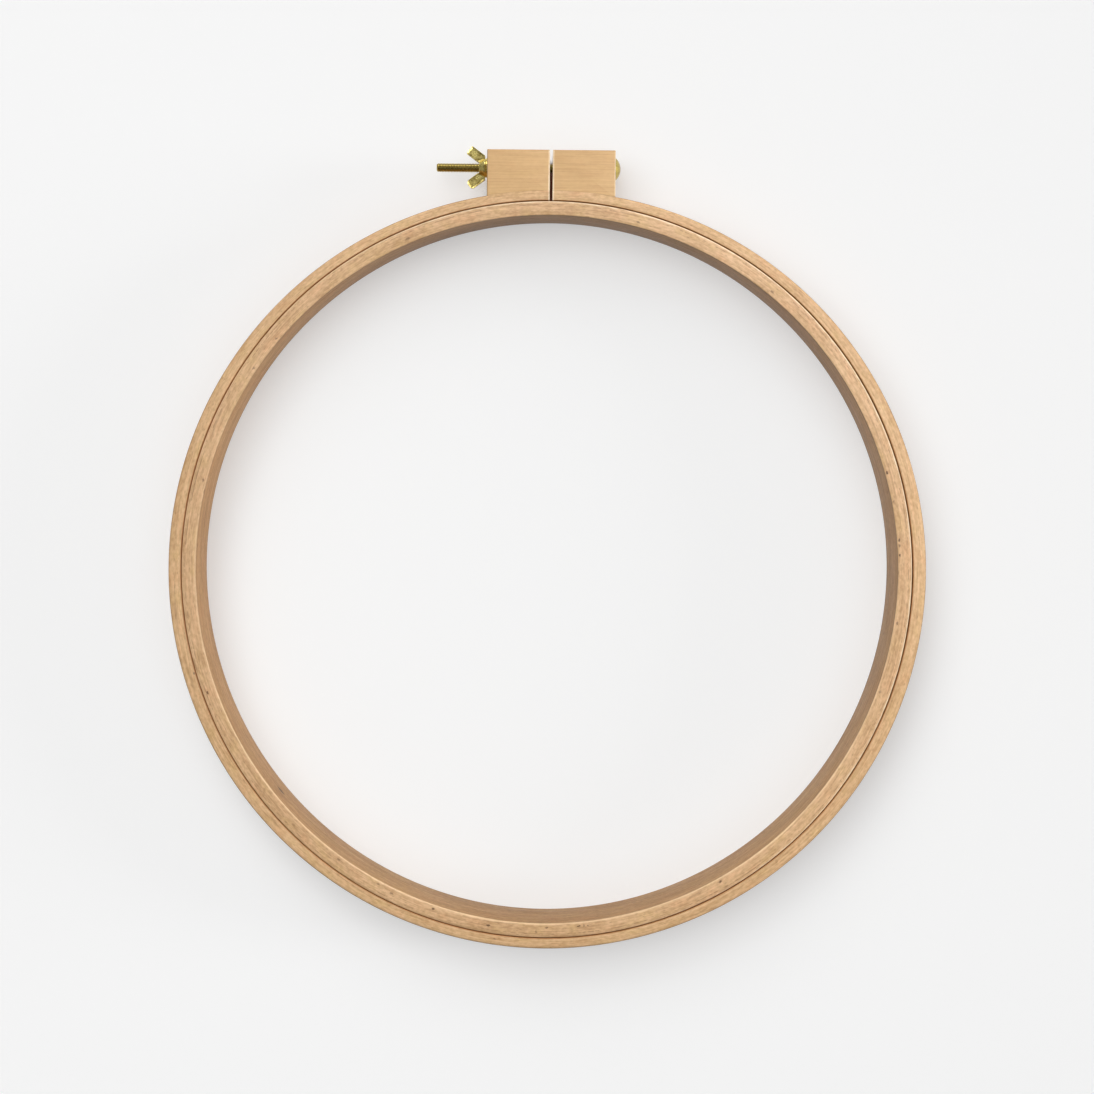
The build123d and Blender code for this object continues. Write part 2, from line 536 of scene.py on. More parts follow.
@dataclass(frozen=True)
class BeechFinish(Finish):
    """Sanded bare beech.

    A strip carries its own plank coordinates, and a block is read in the hoop's, with its
    grain along the bolt. Figure is how lively the wood is, and angles say where round the
    hoop a strip's painted light and shade show most. A scarf is the slanting joint of a closed strip.
    """

    pale: Triple = (0.64, 0.405, 0.185)
    dark: Triple = (0.495, 0.288, 0.118)
    ray: Triple = (0.22, 0.10, 0.035)
    streaks: float = 0.52
    rays: float = 0.36
    specks: float = 0.02
    figure: float = 0.7
    strip: bool = True
    half_wall: float = 2.6
    half_height: float = 12.0
    middle_radius: float = 167.4
    scarf_degrees: float = 0.0
    scarf_length: float = 70.0
    scarf_lean: float = 1.2
    face_line: tuple[float, float] = (1.0, 0.3)
    cut_edge: float = 0.0
    cut_line: tuple[float, float] = (0.25, 0.95)
    cut_shares: tuple[float, float] = (0.4, 0.7)
    end_edge: float = 0.0
    end_line: tuple[float, float] = (0.6, 0.15)
    end_share: float = 0.6
    end_tone: Triple = END_HIGHLIGHT_TONE
    top_edge: float = 0.0
    top_line: tuple[float, float] = (0.7, 0.2)
    top_share: float = 0.45
    edge_width: float = 0.9
    wall_tint: Triple = (0.88, 0.74, 0.53)
    # Painted shade on the walls, strongest towards its angle.
    wall_shade_tone: Triple = (0.80, 0.83, 0.86)
    wall_shade_angle: float = 285.0
    # By default the outer edge line is painted shade, the inner edge line a painted highlight and the under
    # edge line painted shade.
    outer_edge: Triple = (0.36, 0.22, 0.10)
    outer_edge_share: float = 0.5
    outer_edge_angle: float = 200.0
    inner_edge: Triple = (0.90, 0.66, 0.40)
    inner_edge_share: float = 0.6
    inner_edge_angle: float = 262.0
    under_edge_share: float = 0.6
    under_edge_angle: float = 55.0
    # Painted shade beside the seam between the rings.
    contact_side: str = "Inner side"
    contact_tint: Triple = (0.50, 0.32, 0.17)
    contact_reach: float = 0.75
    crease: float = 0.0
    crease_line: tuple[float, float] = (0.08, 0.3)
    crease_share: float = 0.5
    marks: tuple[Mark, ...] = ()

    def painted(self, w: Wiring, effects: Effects) -> tuple[Socket, Node]:
        """Lays out the colour.

        Args:
            w: The material's wiring.
            effects: The shared node groups.

        Returns:
            The colour, and the beech group.
        """
        if self.strip:
            place = w.add("Attribute", attribute_name="plank").outputs["Vector"]
        else:
            place = w.add("TexCoord").outputs["Object"]
        grain = w.add("Group", node_tree=effects.beech, named={
            "Place": self.past_scarf(w, place), "Pale": opaque(self.pale), "Dark": opaque(self.dark),
            "Ray colour": opaque(self.ray), "Streaks": self.streaks, "Rays": self.rays,
            "Specks": self.specks, "Figure": self.figure, "Seed": self.seed,
        })
        colour = grain.outputs["Color"]
        if self.strip:
            colour = self.marked(w, place, colour)
            colour = self.toned(w, place, colour, effects)
        return self.sawn(w, colour) if self.cut_edge else colour, grain

    def sawn(self, w: Wiring, colour: Feed) -> Socket:
        """Paints a highlight along the sawn edges at the kerf, and lines of painted light and shade along the
        far edges of a block.

        Args:
            w: The material's wiring.
            colour: The colour so far.

        Returns:
            The colour.
        """
        place = w.add("TexCoord").outputs["Object"]
        parts = w.parts(place)
        aside = w.maths("ABSOLUTE", parts[0])
        by_face = w.edge_line(w.maths("ABSOLUTE", parts[2]), self.half_height, self.face_line, 1.0)
        # A broken painted highlight along the sawn edges at the kerf, near the faces.
        highlight_share = w.ramp(w.noise(place, HIGHLIGHT_PATCHES), 0.35, 0.65, *self.cut_shares)
        cut_line = w.fade(aside, *(self.cut_edge + off for off in self.cut_line), highlight_share)
        at_clamp = w.times(by_face, w.maths("GREATER_THAN", parts[1], 0.0))
        colour = w.blend(w.times(cut_line, at_clamp), colour, KERF_HIGHLIGHT)
        # Painted lines along a block's far edges: at its end a painted highlight in a light tone and painted
        # shade in a dark one, and painted shade along its top.
        if self.end_edge:
            end = w.edge_line(aside, self.end_edge, self.end_line, self.end_share)
            top = w.edge_line(parts[1], self.top_edge, self.top_line, self.top_share)
            for line, tone in ((end, self.end_tone), (top, self.dark)):
                colour = w.blend(w.times(line, by_face), colour, tone)
        return colour

    def past_scarf(self, w: Wiring, place: Feed) -> Feed:
        """Starts a closed strip's grain anew over its long slanting glued joint.

        Args:
            w: The material's wiring.
            place: The point of the plank.

        Returns:
            The point that the grain is read at.
        """
        if not self.scarf_degrees:
            return place
        parts = w.parts(place)
        start = math.radians((self.scarf_degrees - 90) % 360) * self.middle_radius * MM
        slant = self.scarf_length / 2 / self.half_wall
        leaning = w.maths("MULTIPLY_ADD", parts[1], slant, w.times(parts[2], self.scarf_lean))
        past = w.maths("GREATER_THAN", w.maths("ADD", parts[0], leaning), start)
        back = w.times(past, -FULL_TURN * self.middle_radius * MM)
        return w.add("CombineXYZ", w.maths("ADD", parts[0], back), parts[1], parts[2]).outputs[0]

    def toned(self, w: Wiring, place: Feed, colour: Feed, effects: Effects) -> Socket:
        """Darkens the sides and paints light and shade on the walls, the seam and the edges of a strip.

        Args:
            w: The material's wiring.
            place: The point of the plank.
            colour: The colour so far.
            effects: The shared node groups.

        Returns:
            The colour.
        """
        edges = w.add("Group", node_tree=effects.edges, named={
            "Place": place, "Half wall": self.half_wall * MM, "Half height": self.half_height * MM,
            "Width": self.edge_width * MM, "Reach": self.contact_reach * MM,
        }).outputs
        colour = w.tint(edges["Wall"], colour, self.wall_tint)
        # Painted shade on the walls, strongest towards its angle.
        colour = w.tint(w.times(edges["Wall"], self.towards(w, place, self.wall_shade_angle)), colour, self.wall_shade_tone)
        # Lines along the rounded edges, each strongest towards its angle: painted highlights in light tones,
        # painted shade in dark ones, and a painted shade line on the walls just under the faces.
        for edge, tone, share, angle in (
            ("Outer edge", self.outer_edge, self.outer_edge_share, self.outer_edge_angle),
            ("Inner edge", self.inner_edge, self.inner_edge_share, self.inner_edge_angle),
            ("Under edge", UNDER_TONE, self.under_edge_share, self.under_edge_angle),
        ):
            there = w.times(self.towards(w, place, angle), share)
            colour = w.blend(w.times(edges[edge], there), colour, tone)
        # Painted shade beside the seam between the two rings.
        colour = w.tint(edges[self.contact_side], colour, self.contact_tint)
        if self.crease:
            off = w.maths("ABSOLUTE", w.maths("SUBTRACT", w.parts(place)[1], self.crease * MM))
            line = w.fade(off, *self.crease_line, self.crease_share)
            broken = w.ramp(w.noise(place, BROKEN), 0.45, 0.6)
            colour = w.blend(w.times(line, broken), colour, self.ray)
        return colour

    def towards(self, w: Wiring, place: Feed, angle: float) -> Socket:
        """How much of a strip's painted light and shade shows at a place: most at an angle, least opposite.

        Args:
            w: The material's wiring.
            place: The point of the plank.
            angle: The angle in degrees.

        Returns:
            The share.
        """
        per_metre = 1 / (self.middle_radius * MM)
        turn = w.maths("MULTIPLY_ADD", w.parts(place)[0], per_metre, math.radians(90 - angle))
        return w.ramp(w.maths("COSINE", turn), -0.5, 0.8, 0.12, 1.0)

    def marked(self, w: Wiring, place: Feed, colour: Feed) -> Socket:
        """Adds the flecks that this strip has, each an uneven spot.

        Args:
            w: The material's wiring.
            place: The point of the plank.
            colour: The colour so far.

        Returns:
            The colour.
        """
        wobble = w.vector("SUBTRACT", w.noise(place, WOBBLE, 1), (0.5, 0.5, 0.5))
        loose = w.vector("ADD", place, w.vector("MULTIPLY", wobble, (2 * MM, MM, MM)))
        total = 0.0
        for mark in self.marks:
            along = math.radians((mark.angle - 90) % 360) * self.middle_radius
            away = w.vector("SUBTRACT", loose, Vector((along, mark.across, mark.up)) * MM)
            sizes = Vector((2 / mark.length, 2 / mark.width, 2 / mark.width)) / MM
            far = w.vector("LENGTH", w.vector("MULTIPLY", away, sizes), output="Value")
            total = w.maths("MAXIMUM", total, w.ramp(far, 0.55, 1.35, mark.depth, 0.0))
        return w.blend(total, colour, FLECK_TONE)


@dataclass(frozen=True)
class BrassFinish(Finish):
    """Rolled or cast brass, bright where it is handled and dark in hollows.

    A bolt has the groove's top and depth, as distances from its axis at axis_y, and seat_x,
    where its head starts; next to it the head gets painted shade.
    """

    relief: float = 0.02
    bump: float = 0.4
    metallic: float = 1.0
    bright: Triple = (0.78, 0.60, 0.18)
    tarnish: Triple = (0.19, 0.115, 0.018)
    toned: float = 0.55
    hollow_dark: float = 0.8
    edge_bright: float = 0.8
    groove_dark: float = 0.75
    head_shade: float = 0.95
    axis_y: float = 0.0
    groove_top: float = 0.0
    groove_depth: float = 0.28
    seat_x: float = 0.0
    head_line: tuple[float, float] = (0.4, 1.3)

    def painted(self, w: Wiring, effects: Effects) -> tuple[Socket, Node]:
        """Lays out the colour.

        Args:
            w: The material's wiring.
            effects: The shared node groups.

        Returns:
            The colour, and the brass group.
        """
        place = w.add("TexCoord").outputs["Object"]
        edge = w.add("NewGeometry").outputs["Pointiness"]
        # Patina in hollows, and on a bolt painted shade on its head next to the lug.
        hollow = w.maths("ADD", self.on_bolt(w, place), w.ramp(edge, 0.46, 0.495, self.hollow_dark, 0.0))
        hollow = w.maths("SUBTRACT", hollow, w.ramp(edge, 0.505, 0.54, 0.0, self.edge_bright))
        surface = w.add("Group", node_tree=effects.brass, named={
            "Place": place, "Bright": opaque(self.bright), "Tarnish": opaque(self.tarnish),
            "Aged": self.toned, "Hollow and shade": hollow, "Seed": self.seed,
        })
        return surface.outputs["Color"], surface

    def on_bolt(self, w: Wiring, place: Feed) -> Feed:
        """How dark a bolt is in its thread's grooves, with painted shade on its head next to the lug.

        Args:
            w: The material's wiring.
            place: The point of the piece.

        Returns:
            The share, which is none on another piece.
        """
        if not self.groove_top:
            return 0.0
        off_axis = w.vector("SUBTRACT", place, (0, self.axis_y * MM, 0))
        radius = w.vector("LENGTH", w.vector("MULTIPLY", off_axis, (0, 1, 1)), output="Value")
        groove = w.fade(radius, self.groove_top - self.groove_depth, self.groove_top, self.groove_dark)
        along = w.parts(place)[0]
        # Painted shade on the head next to the lug.
        shade_by_lug = w.fade(along, *(self.seat_x + off for off in self.head_line), self.head_shade)
        shade_by_lug = w.times(shade_by_lug, w.maths("GREATER_THAN", along, self.seat_x * MM))
        return w.maths("MAXIMUM", groove, shade_by_lug)


def as_object(bm: BMesh, name: str, sharp_degrees: float = 35.0) -> Solid:
    """Turns a bmesh in millimetres into an object in metres that sits at the origin.

    Args:
        bm: The bmesh, which is freed.
        name: The object's name.
        sharp_degrees: Faces that meet at more than this angle stay sharp.

    Returns:
        The object, in the scene.
    """
    bmesh.ops.remove_doubles(bm, verts=bm.verts, dist=WELD)
    bmesh.ops.recalc_face_normals(bm, faces=bm.faces)
    bmesh.ops.scale(bm, vec=(MM, MM, MM), verts=bm.verts)
    mesh = bpy.data.meshes.new(name)
    bm.to_mesh(mesh)
    bm.free()
    piece = bpy.data.objects.new(name, mesh)
    bpy.context.scene.collection.objects.link(piece)
    shade(mesh, sharp_degrees)
    return piece


def shade(mesh: bpy.types.Mesh, sharp_degrees: float) -> None:
    """Shades a mesh smooth, except over its sharpest edges.

    Args:
        mesh: The mesh.
        sharp_degrees: Faces that meet at more than this angle stay sharp.
    """
    mesh.polygons.foreach_set("use_smooth", [True] * len(mesh.polygons))
    mesh.set_sharp_from_angle(angle=math.radians(sharp_degrees))
    mesh.update()


def settle(piece: Solid) -> None:
    """Puts the result of a piece's modifiers into its mesh and takes the modifiers off.

    Args:
        piece: The piece.
    """
    bpy.context.view_layer.update()
    mesh = bpy.data.meshes.new_from_object(piece.evaluated_get(bpy.context.evaluated_depsgraph_get()))
    piece.modifiers.clear()
    old = piece.data
    piece.data = mesh
    bpy.data.meshes.remove(old)
    mesh.name = piece.name


def cut(piece: Solid, tool: Solid) -> None:
    """Cuts a tool's solid out of a piece.

    Args:
        piece: The piece.
        tool: The tool, which is thrown away.
    """
    modifier = piece.modifiers.new("cut", "BOOLEAN")
    modifier.operation = "DIFFERENCE"
    modifier.solver = "EXACT"
    modifier.object = tool
    settle(piece)
    bpy.data.objects.remove(tool)


def outline_face(bm: BMesh, points: list[Triple]) -> bmesh.types.BMFace:
    """A face through points."""
    return bm.faces.new([bm.verts.new(point) for point in points])


def chain(bm: BMesh, points: list[tuple[float, float]], axis_y: float, closed: bool) -> list:
    """Draws a profile, each point a place along X and a distance from a line along X.

    Args:
        bm: The bmesh that gets it.
        points: The profile's points.
        axis_y: The line's place in Y.
        closed: Whether its end joins its start.

    Returns:
        Its corners and edges.
    """
    verts = [bm.verts.new((x, axis_y + radius, 0.0)) for x, radius in points]
    following = verts[1:] + verts[:1] if closed else verts[1:]
    return verts + [bm.edges.new(pair) for pair in zip(verts, following)]


def turned(
    bm: BMesh, geom: list, centre: Triple, axis: Triple, steps: int, angle: float = FULL_TURN,
    step_on: Triple = (0, 0, 0), closed: bool = True,
) -> None:
    """Turns a profile about an axis.

    Args:
        bm: The bmesh.
        geom: The profile's corners, edges and faces.
        centre: A point of the axis.
        axis: The axis.
        steps: How many steps make the turn.
        angle: How far it turns.
        step_on: How far each step moves on.
        closed: Whether the end joins the start.
    """
    bmesh.ops.spin(
        bm, geom=geom, cent=centre, axis=axis, dvec=step_on, angle=angle, steps=steps, use_merge=closed,
        use_duplicate=False,
    )


def spun(bm: BMesh, points: list[tuple[float, float]], axis_y: float, steps: int) -> None:
    """Turns a closed profile about a line along X into a closed solid."""
    turned(bm, chain(bm, points, axis_y, closed=True), (0, axis_y, 0), (1, 0, 0), steps)
    bmesh.ops.remove_doubles(bm, verts=bm.verts, dist=WELD)


def rounded(bm: BMesh, geom: list, offset: float, segments: int, affect: str = "EDGES") -> None:
    """Rounds edges, or the corners of a flat outline."""
    bmesh.ops.bevel(bm, geom=geom, offset=offset, affect=affect, segments=segments, profile=0.5, material=-1)


def add_block(bm: BMesh, middle: Triple, sizes: Triple) -> None:
    """Adds a box of three sizes around a middle."""
    place = Matrix.Translation(middle) @ Matrix.Diagonal((*sizes, 1))
    bmesh.ops.create_cube(bm, size=1.0, matrix=place)


def everything(bm: BMesh) -> list:
    """All corners, edges and faces."""
    return bm.verts[:] + bm.edges[:] + bm.faces[:]


def smooth(share: float) -> float:
    """A smooth step from 0 to 1."""
    share = min(max(share, 0.0), 1.0)
    return share * share * (3 - 2 * share)


@dataclass
class Piece:
    """What every piece of the hoop has: a name and a finish."""

    name: str
    finish: Finish

    def shape(self) -> Solid:
        """Makes the bare piece, which each kind does in its own way."""
        raise NotImplementedError

    def build(self, effects: Effects) -> Solid:
        """Makes the piece and dresses it in its finish.

        Args:
            effects: The shared node groups.

        Returns:
            The piece.
        """
        piece = self.shape()
        piece.data.materials.clear()
        piece.data.materials.append(self.finish.material(effects))
        return piece


@dataclass
class RingStrip(Piece):
    """One bent strip of the hoop.

    The seam between the two strips is a little taller than wide, and oval is how far it
    stands out at the clamp and in at the sides. An open strip starts and ends at the kerf.
    Outer drop is how deep the outer edges' rounding is for its width. Snug is how much
    tighter the bore is, slack lists how far it stands off round an angle in degrees, and
    offset is how far the seam's centre lies from the hoop's. Under the lugs, up to the
    flush half width, only the flush share of the outer rounding is left.
    """

    outer_radius: float
    wall: float
    half_height: float
    outer_round: float
    inner_round: float
    outer_drop: float = 1.0
    kerf: float = 0.0
    oval: float = 0.65
    outer_share: float = 1.0
    snug: float = 0.0
    offset: tuple[float, float] = (0.0, 0.0)
    slack: tuple[tuple[float, float], ...] = ()
    flush_half_width: float = 0.0
    flush_share: float = 0.12
    flush_start: float = 0.8
    segments: int = 900
    round_steps: int = 4

    @property
    def middle_radius(self) -> float:
        """The radius of the wall's middle."""
        return self.outer_radius - self.wall / 2

    def in_rounding(self, from_side: float, from_face: float) -> bool:
        """Whether a point lies in the outer edges' rounding."""
        return max(from_side, from_face) <= self.outer_round + NEAR

    def section(self, bm: BMesh) -> None:
        """Draws the strip's section, with its corners rounded, in the XZ plane.

        Args:
            bm: The bmesh that gets it.
        """
        inner = self.outer_radius - self.wall
        corners = [(inner, -1), (self.outer_radius, -1), (self.outer_radius, 1), (inner, 1)]
        outline_face(bm, [(radius, 0.0, side * self.half_height) for radius, side in corners])
        for radius, offset in ((self.outer_radius, self.outer_round), (inner, self.inner_round)):
            chosen = [vert for vert in bm.verts if abs(vert.co.x - radius) < offset / 10]
            rounded(bm, chosen, offset, self.round_steps, "VERTICES")
        for vert in bm.verts:
            from_face = self.half_height - abs(vert.co.z)
            if self.in_rounding(self.outer_radius - vert.co.x, from_face):
                vert.co.z = math.copysign(self.half_height - from_face * self.outer_drop, vert.co.z)

    def swept(self) -> BMesh:
        """Carries the section round the hoop's axis.

        Returns:
            The plain round strip.
        """
        bm = bmesh.new()
        self.section(bm)
        half_kerf = math.asin(self.kerf / 2 / self.middle_radius)
        start = Matrix.Rotation(math.pi / 2 + half_kerf, 3, "Z")
        bmesh.ops.rotate(bm, cent=(0, 0, 0), matrix=start, verts=bm.verts)
        closed = not self.kerf
        if closed:
            bmesh.ops.delete(bm, geom=bm.faces[:], context="FACES_ONLY")
        sweep = FULL_TURN - 2 * half_kerf
        turned(bm, everything(bm), (0, 0, 0), (0, 0, 1), self.segments, sweep, closed=closed)
        bmesh.ops.remove_doubles(bm, verts=bm.verts, dist=WELD)
        return bm

    def shaped(self, place: Vector) -> Vector:
        """Moves a point of the plain round strip to its place on the real one.

        Args:
            place: The point.

        Returns:
            Its place.
        """
        angle = math.atan2(place.y, place.x)
        radius = math.hypot(place.x, place.y)
        height = place.z
        from_edge = self.outer_radius - radius
        from_face = self.half_height - abs(height)
        if place.y > 0 and self.flush_half_width and self.in_rounding(from_edge, from_face):
            reach = (abs(place.x) - self.flush_half_width) / self.outer_round
            share = self.flush_share + (1 - self.flush_share) * smooth(reach + self.flush_start)
            radius = self.outer_radius - from_edge * share
            height = math.copysign(self.half_height - from_face * share, height)
        depth = (self.outer_radius - radius) / self.wall
        share = self.outer_share + (1 - self.outer_share) * depth
        radius -= self.oval * share * math.cos(2 * angle) + self.snug * depth
        radius += share * (self.offset[0] * math.cos(angle) + self.offset[1] * math.sin(angle))
        for centre, off in self.slack:
            radius += off * depth * smooth(math.cos(angle - math.radians(centre)))
        return Vector((radius * math.cos(angle), radius * math.sin(angle), height))

    def shape(self) -> Solid:
        """Makes the bare strip, which keeps its place on the straight plank.

        Returns:
            The piece.
        """
        bm = self.swept()
        plain = [vert.co.copy() for vert in bm.verts]
        for vert in bm.verts:
            vert.co = self.shaped(vert.co)
        piece = as_object(bm, self.name)
        self.write_plank(piece.data, plain)
        return piece

    def write_plank(self, mesh: bpy.types.Mesh, plain: list[Vector]) -> None:
        """Writes each corner's place on the straight plank, in metres, as an attribute.

        Args:
            mesh: The strip's mesh.
            plain: Its corners on the plain round strip.
        """
        length = FULL_TURN * self.middle_radius
        flat = [0.0] * (3 * len(mesh.loops))
        for polygon in mesh.polygons:
            first = None
            for loop in polygon.loop_indices:
                point = plain[mesh.loops[loop].vertex_index]
                along = (math.atan2(point.y, point.x) - math.pi / 2) % FULL_TURN * self.middle_radius
                first = along if first is None else first
                along -= length * round((along - first) / length)
                across = math.hypot(point.x, point.y) - self.middle_radius
                flat[3 * loop:3 * loop + 3] = (along * MM, across * MM, point.z * MM)
        attribute = mesh.attributes.new("plank", "FLOAT_VECTOR", "CORNER")
        attribute.data.foreach_set("vector", flat)


@dataclass
class Lug(Piece):
    """A clamp block, saddled onto the outer ring and bored for the bolt."""

    side: Side
    kerf_face: float
    end_face: float
    top: float
    half_height: float
    saddle_radius: float
    bolt_y: float
    hole_radius: float
    seat_side: float = 0.0
    seat_depth: float = 3.25
    kerf_round: float = 0.2
    edge_round: float = 0.5
    round_steps: int = 3
    arc_steps: int = 24
    hole_steps: int = 48
    overrun: float = 1.0
    sharp_degrees: float = 30.0

    def block(self) -> BMesh:
        """The block with its saddle and its edges rounded.

        Returns:
            The block.
        """
        bm = bmesh.new()
        side = self.side.value
        reach = self.end_face - self.kerf_face
        places = [self.kerf_face + reach * step / self.arc_steps for step in range(self.arc_steps + 1)]
        outline = [(x, math.sqrt(self.saddle_radius**2 - x**2)) for x in places]
        outline += [(self.end_face, self.top), (self.kerf_face, self.top)]
        face = outline_face(bm, [(side * x, y, -self.half_height) for x, y in outline])
        raised = bmesh.ops.extrude_face_region(bm, geom=[face])["geom"]
        verts = [item for item in raised if isinstance(item, bmesh.types.BMVert)]
        bmesh.ops.translate(bm, vec=(0, 0, 2 * self.half_height), verts=verts)
        self.round_edges(bm, self.kerf_face, self.kerf_round)
        self.round_edges(bm, self.end_face, self.edge_round)
        self.round_top(bm)
        return bm

    def on_saddle(self, vert: bmesh.types.BMVert) -> bool:
        """Whether a corner lies on the saddle."""
        return abs(math.hypot(vert.co.x, vert.co.y) - self.saddle_radius) < self.kerf_round

    def round_edges(self, bm: BMesh, face_x: float, offset: float) -> None:
        """Rounds the edges of an end, apart from the saddle's.

        Args:
            bm: The block.
            face_x: Where the end's face stands along the bolt.
            offset: How far the rounding reaches.
        """
        chosen = [
            edge for edge in bm.edges
            if all(abs(abs(vert.co.x) - face_x) < NEAR for vert in edge.verts)
            and not all(self.on_saddle(vert) for vert in edge.verts)
        ]
        rounded(bm, chosen, offset, self.round_steps)

    def round_top(self, bm: BMesh) -> None:
        """Rounds the two long edges at the top.

        Args:
            bm: The block.
        """
        chosen = [
            edge for edge in bm.edges
            if all(abs(vert.co.y - self.top) < NEAR for vert in edge.verts)
            and abs(edge.verts[0].co.x - edge.verts[1].co.x) > self.edge_round
            and abs(abs(edge.verts[0].co.z) - self.half_height) < NEAR
        ]
        rounded(bm, chosen, self.edge_round, self.round_steps)

    def hole(self) -> Solid:
        """The solid that the bolt's hole takes away.

        Returns:
            The solid.
        """
        bm = bmesh.new()
        side, radius = self.side.value, self.hole_radius
        near, far = side * (self.kerf_face - self.overrun), side * (self.end_face + self.overrun)
        spun(bm, [(near, 0.0), (near, radius), (far, radius), (far, 0.0)], self.bolt_y, self.hole_steps)
        return as_object(bm, self.name + "_hole")

    def seat(self) -> Solid:
        """The solid that the square seat for the bolt's neck takes away.

        Returns:
            The solid.
        """
        bm = bmesh.new()
        depth = self.seat_depth + self.overrun
        middle = self.side.value * (self.end_face + self.overrun - depth / 2)
        add_block(bm, (middle, self.bolt_y, 0), (depth, self.seat_side, self.seat_side))
        return as_object(bm, self.name + "_seat")

    def shape(self) -> Solid:
        """Makes the bare lug, bored and with its seat if it has one.

        Returns:
            The piece.
        """
        piece = as_object(self.block(), self.name)
        cut(piece, self.hole())
        if self.seat_side:
            cut(piece, self.seat())
        shade(piece.data, self.sharp_degrees)
        return piece


@dataclass
class ClampBolt(Piece):
    """The brass bolt: a domed head, a square neck and a thread down to the tip.

    Flanks are where a thread's groove ends, its crest starts and ends, and the next groove
    starts, as shares of the pitch. The thread is drawn from some lead turns before the tip,
    with spare turns, and cut to length.
    """

    axis_y: float
    seat_x: float
    tip_x: float
    crown_x: float
    head_radius: float
    thread_radius: float
    rim: float = 0.5
    lip_share: float = 0.3
    neck_side: float = 4.4
    neck_length: float = 3.2
    pitch: float = 0.7
    thread_depth: float = 0.3
    flanks: tuple[float, float, float, float] = (0.1, 0.3, 0.7, 0.9)
    lead_turns: float = 1.5
    spare_turns: int = 2
    tip_chamfer: float = 0.5
    steps_round: int = 28
    head_steps: int = 64
    dome_steps: int = 10
    sharp_degrees: float = 28.0

    def head(self, bm: BMesh) -> None:
        """Adds the domed head and the square neck.

        Args:
            bm: The bmesh that gets them.
        """
        rise = self.crown_x - self.seat_x - self.rim
        dome = (self.head_radius**2 + rise**2) / (2 * rise)
        centre_x = self.crown_x - dome
        widest = math.asin(self.head_radius / dome)
        angles = [widest * step / self.dome_steps for step in range(self.dome_steps + 1)]
        profile = [(centre_x + dome * math.cos(angle), dome * math.sin(angle)) for angle in angles]
        lip = self.rim * self.lip_share
        profile += [(self.seat_x + lip, self.head_radius), (self.seat_x, self.head_radius - lip)]
        profile += [(self.seat_x, 0.0)]
        spun(bm, profile, self.axis_y, self.head_steps)
        middle = (self.seat_x - self.neck_length / 2 + lip, self.axis_y, 0)
        add_block(bm, middle, (self.neck_length + 2 * lip, self.neck_side, self.neck_side))

    def one_turn(self) -> bpy.types.Mesh:
        """One turn of the thread, from its tip end.

        Returns:
            Its mesh.
        """
        bm = bmesh.new()
        root, crest = self.thread_radius - self.thread_depth, self.thread_radius
        shares = zip((0.0, *self.flanks, 1.0), (root, root, crest, crest, root, root))
        points = [(share * self.pitch, radius) for share, radius in shares]
        profile = chain(bm, points, self.axis_y, closed=False)
        step_on = (self.pitch / self.steps_round, 0, 0)
        turned(bm, profile, (0, self.axis_y, 0), (1, 0, 0), self.steps_round, step_on=step_on, closed=False)
        mesh = bpy.data.meshes.new("one turn")
        bm.to_mesh(mesh)
        bm.free()
        return mesh

    def thread(self) -> bpy.types.Mesh:
        """The threaded shank, cut square at both ends and chamfered at the tip.

        Returns:
            Its mesh.
        """
        turn = self.one_turn()
        bm = bmesh.new()
        end_x = self.seat_x - self.neck_length / 2
        turns = math.ceil((end_x - self.tip_x) / self.pitch) + self.spare_turns
        for number in range(turns):
            bm.from_mesh(turn)
            fresh = bm.verts[-len(turn.vertices):]
            start = self.tip_x + (number - self.lead_turns) * self.pitch
            bmesh.ops.translate(bm, vec=(start, 0, 0), verts=fresh)
        bpy.data.meshes.remove(turn)
        bmesh.ops.remove_doubles(bm, verts=bm.verts, dist=NEAR)
        for place, outward in ((self.tip_x, -1), (end_x, 1)):
            bmesh.ops.bisect_plane(
                bm, geom=everything(bm), dist=FLAT, plane_co=(place, 0, 0), plane_no=(outward, 0, 0),
                clear_outer=True, clear_inner=False,
            )
            rim = [edge for edge in bm.edges if edge.is_boundary and abs(edge.verts[0].co.x - place) < NEAR]
            bmesh.ops.holes_fill(bm, edges=rim, sides=0)
        self.chamfer_tip(bm)
        mesh = bpy.data.meshes.new("thread")
        bmesh.ops.recalc_face_normals(bm, faces=bm.faces)
        bm.to_mesh(mesh)
        bm.free()
        return mesh

    def chamfer_tip(self, bm: BMesh) -> None:
        """Draws the thread in towards the tip.

        Args:
            bm: The thread.
        """
        for vert in bm.verts:
            off_axis = Vector((0, vert.co.y - self.axis_y, vert.co.z))
            most = self.thread_radius - self.tip_chamfer + (vert.co.x - self.tip_x)
            if off_axis.length > most:
                off_axis *= most / off_axis.length
                vert.co = Vector((vert.co.x, self.axis_y + off_axis.y, off_axis.z))

    def shape(self) -> Solid:
        """Makes the bare bolt.

        Returns:
            The piece.
        """
        bm = bmesh.new()
        self.head(bm)
        thread = self.thread()
        bm.from_mesh(thread)
        bpy.data.meshes.remove(thread)
        return as_object(bm, self.name, self.sharp_degrees)


@dataclass
class Washer(Piece):
    """The thin washer under the nut, stamped with a soft edge on one side."""

    axis_y: float
    seat_x: float
    thickness: float
    radius: float
    bore_radius: float
    edge: float = 0.18
    steps: int = 72

    def shape(self) -> Solid:
        """Makes the bare washer.

        Returns:
            The piece.
        """
        bm = bmesh.new()
        edge, outer = self.edge, self.seat_x - self.thickness
        profile = [
            (self.seat_x, self.bore_radius), (self.seat_x, self.radius - edge / 2),
            (self.seat_x - edge / 2, self.radius), (outer + edge, self.radius),
            (outer + edge / 3, self.radius - edge / 3), (outer, self.radius - edge),
            (outer, self.bore_radius + edge), (outer + edge, self.bore_radius),
        ]
        spun(bm, profile, self.axis_y, self.steps)
        return as_object(bm, self.name)


